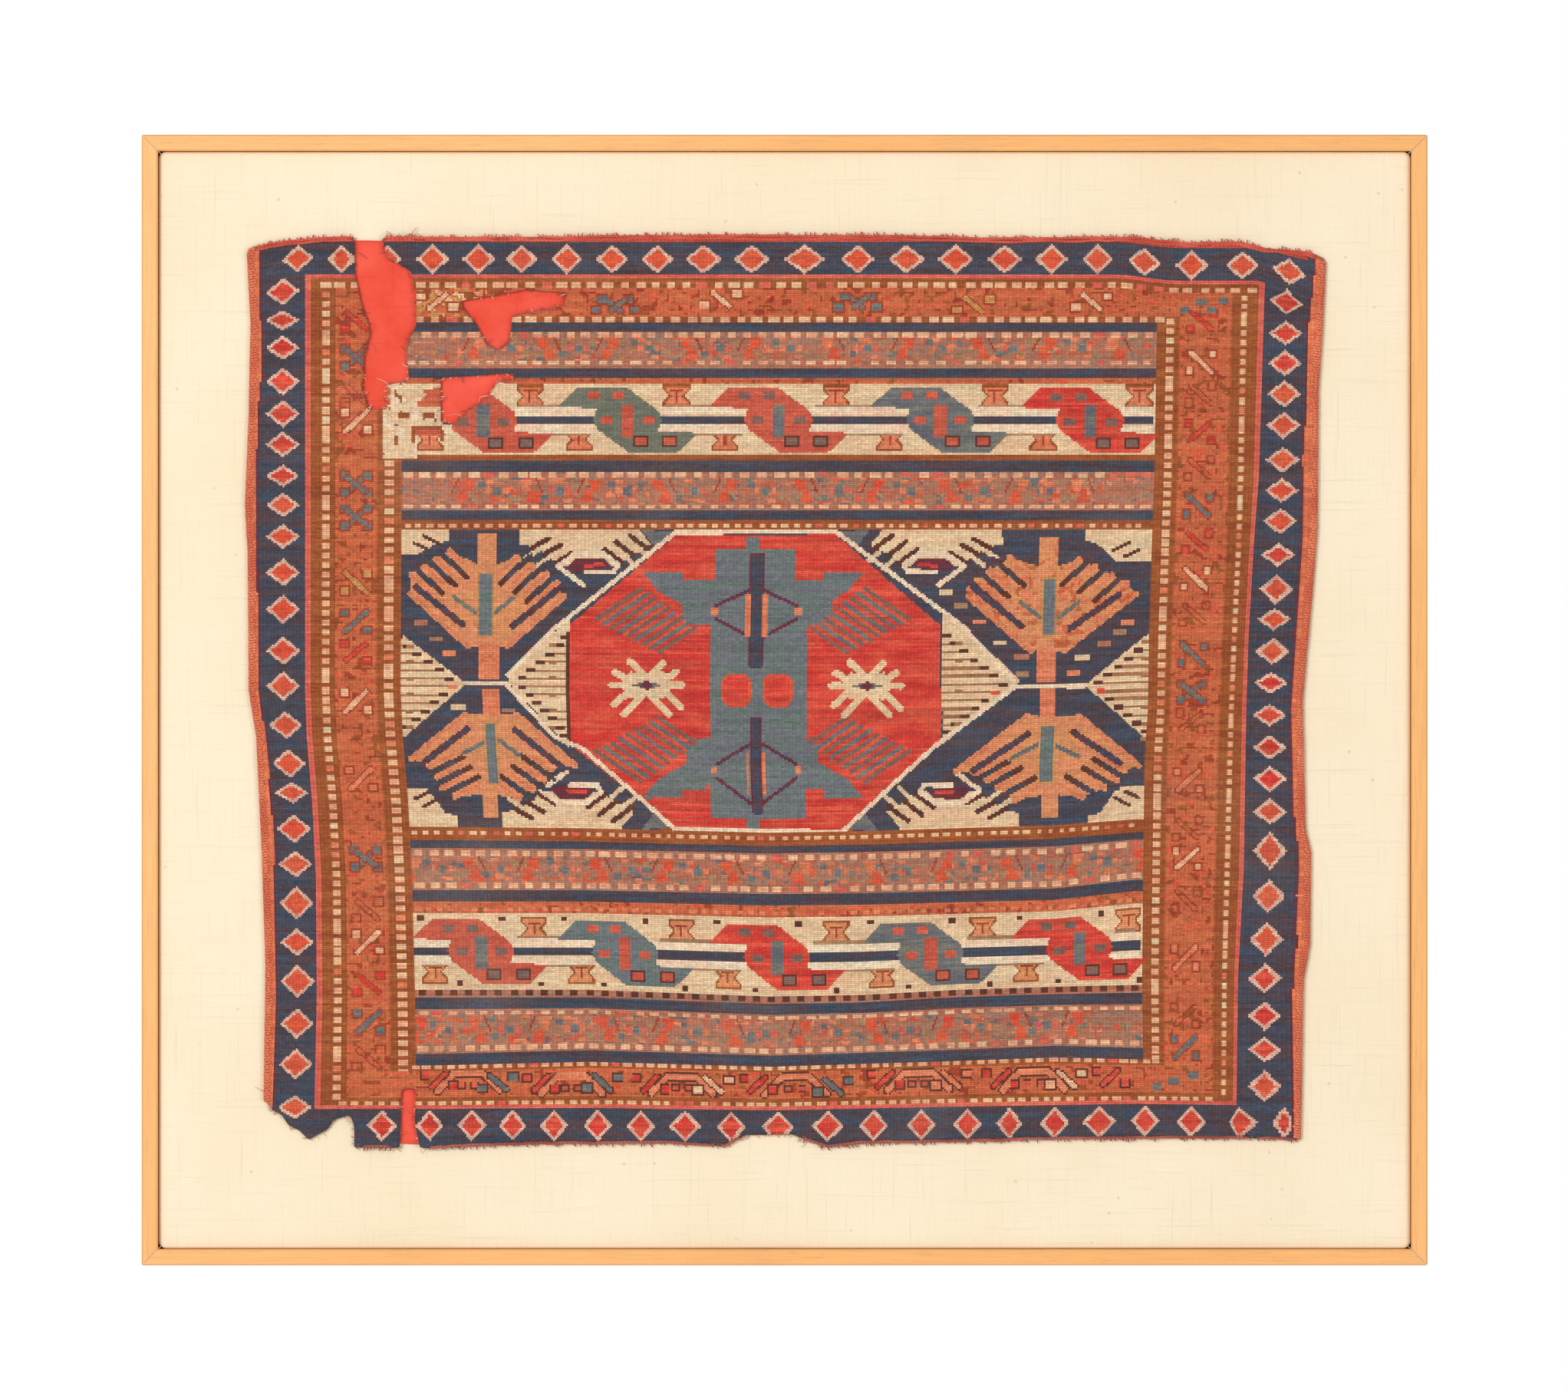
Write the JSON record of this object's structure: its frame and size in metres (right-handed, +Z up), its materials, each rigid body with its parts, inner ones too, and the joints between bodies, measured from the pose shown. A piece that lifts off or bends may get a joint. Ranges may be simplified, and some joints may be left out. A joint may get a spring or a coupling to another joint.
{
  "type": "framed soumak bag face",
  "caption": "Worn soumak-woven wool bag face sewn to a linen panel in a slim pale wooden floater frame, hung by its back.",
  "frame": {"origin": "middle of the top rail's back face, where the wall fixing goes", "axes": "+Z up, +Y to the wall behind, +X to the right as seen from the front"},
  "size_m": [0.69, 0.028, 0.6065],
  "materials": {
    "frame_wood": "pale sanded wood with a clear matt finish",
    "mount_board": "matt rigid mounting board",
    "linen": "cream plain-weave linen with small slubs",
    "red_cloth": "plain red cotton cloth",
    "soumak_wool": "weft-wrapped wool in red, navy, ivory, brown and teal"
  },
  "bodies": {
    "root": {"frame_top": "frame_wood", "frame_bottom": "frame_wood", "frame_left": "frame_wood", "frame_right": "frame_wood", "mount_board": "mount_board", "ground_cloth": "linen", "patch_upper": "red_cloth", "patch_lower": "red_cloth", "bag_face": "soumak_wool"}
  },
  "joints": []
}
